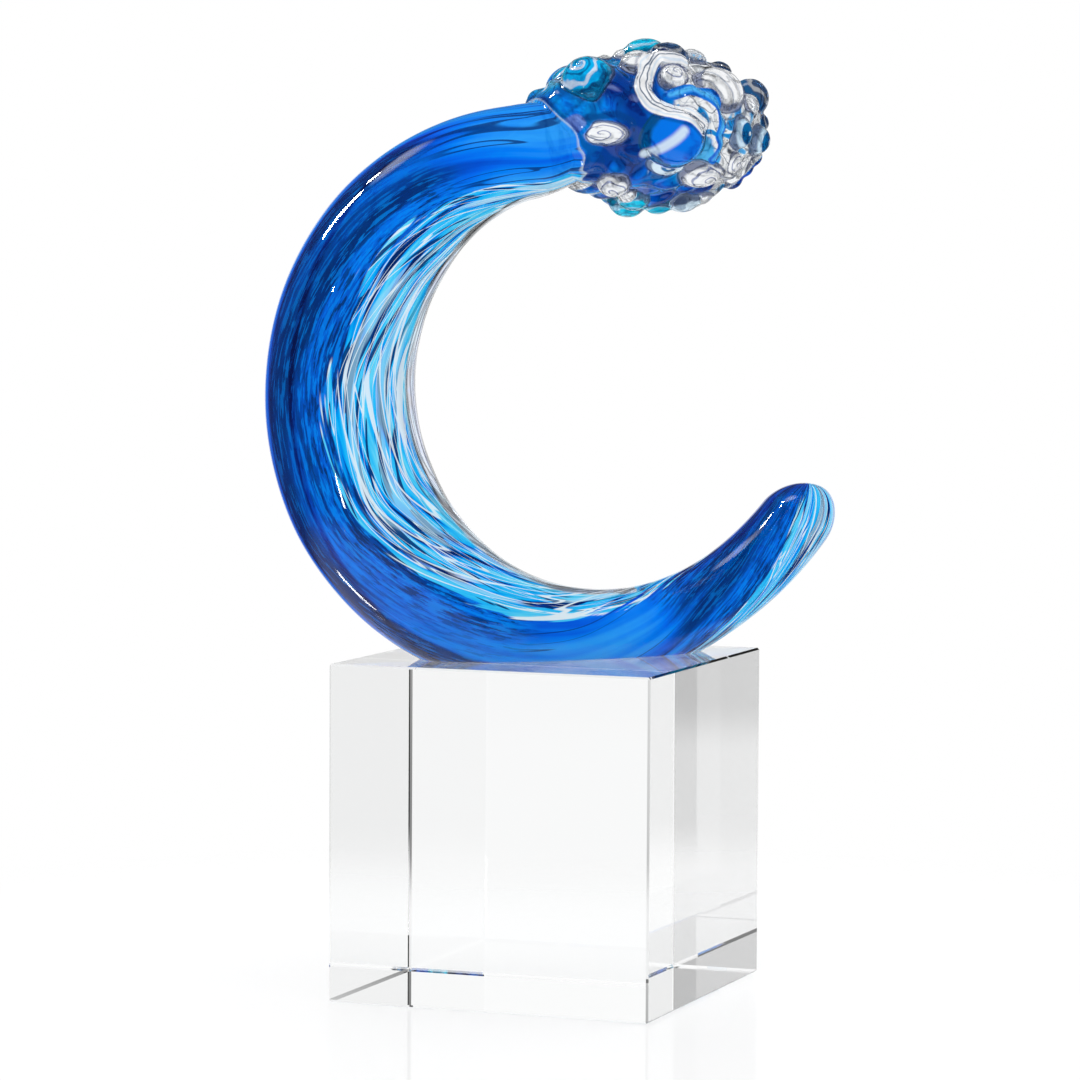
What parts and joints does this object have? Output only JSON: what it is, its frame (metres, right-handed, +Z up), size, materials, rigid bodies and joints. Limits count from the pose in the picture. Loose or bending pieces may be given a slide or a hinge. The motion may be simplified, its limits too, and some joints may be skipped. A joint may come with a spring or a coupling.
{
  "type": "glass wave sculpture",
  "caption": "Breaking wave of cobalt, turquoise and clear art glass, one solid curl with a beaded froth crest, bonded to a polished clear crystal cube.",
  "frame": {"origin": "middle of the cube's underside", "axes": "+Z up; the curl lies in the XZ plane and opens towards +X, with its crest over its tail; -Y is the side usually seen. The cube's sides stand at 45 degrees to X and Y"},
  "size_m": [0.1823, 0.1406, 0.2844],
  "materials": {
    "clear_crystal": "polished, with narrow ground edges",
    "clear_bond": "clear cured adhesive",
    "cobalt_glass": "fire polished, streaked",
    "turquoise_glass": "fire polished, with white and turquoise streaks",
    "clear_blue_glass": "fire polished, clear with fine pale streaks",
    "froth_glass": "fire polished, clear with blue swirls"
  },
  "bodies": {
    "root": {"base_cube": "clear_crystal", "bond_film": "clear_bond", "curl_cobalt": "cobalt_glass", "curl_turquoise": "turquoise_glass", "curl_clear": "clear_blue_glass", "crest_cobalt": "cobalt_glass", "crest_clear": "froth_glass", "froth_bead_01": "cobalt_glass", "froth_bead_02": "froth_glass", "froth_bead_03": "froth_glass", "froth_bead_04": "cobalt_glass", "froth_bead_05": "froth_glass", "froth_bead_06": "froth_glass", "froth_bead_07": "froth_glass", "froth_bead_08": "froth_glass", "froth_bead_09": "cobalt_glass", "froth_bead_10": "cobalt_glass", "froth_bead_11": "froth_glass", "froth_bead_12": "cobalt_glass", "froth_bead_13": "froth_glass", "froth_bead_14": "cobalt_glass", "froth_bead_15": "froth_glass", "froth_bead_16": "froth_glass", "froth_bead_17": "froth_glass", "froth_bead_18": "froth_glass", "froth_bead_19": "froth_glass", "froth_bead_20": "cobalt_glass", "froth_bead_21": "froth_glass", "froth_bead_22": "cobalt_glass", "froth_bead_23": "cobalt_glass", "froth_bead_24": "froth_glass", "froth_bead_25": "froth_glass", "froth_bead_26": "cobalt_glass", "froth_bead_27": "froth_glass", "froth_bead_28": "froth_glass", "froth_bead_29": "froth_glass", "froth_bead_30": "froth_glass", "froth_bead_31": "cobalt_glass", "froth_bead_32": "froth_glass", "froth_bead_33": "froth_glass", "froth_bead_34": "froth_glass", "froth_bead_35": "froth_glass", "froth_bead_36": "cobalt_glass", "froth_bead_37": "froth_glass", "froth_bead_38": "froth_glass", "froth_bead_39": "froth_glass", "froth_bead_40": "froth_glass"}
  },
  "joints": []
}
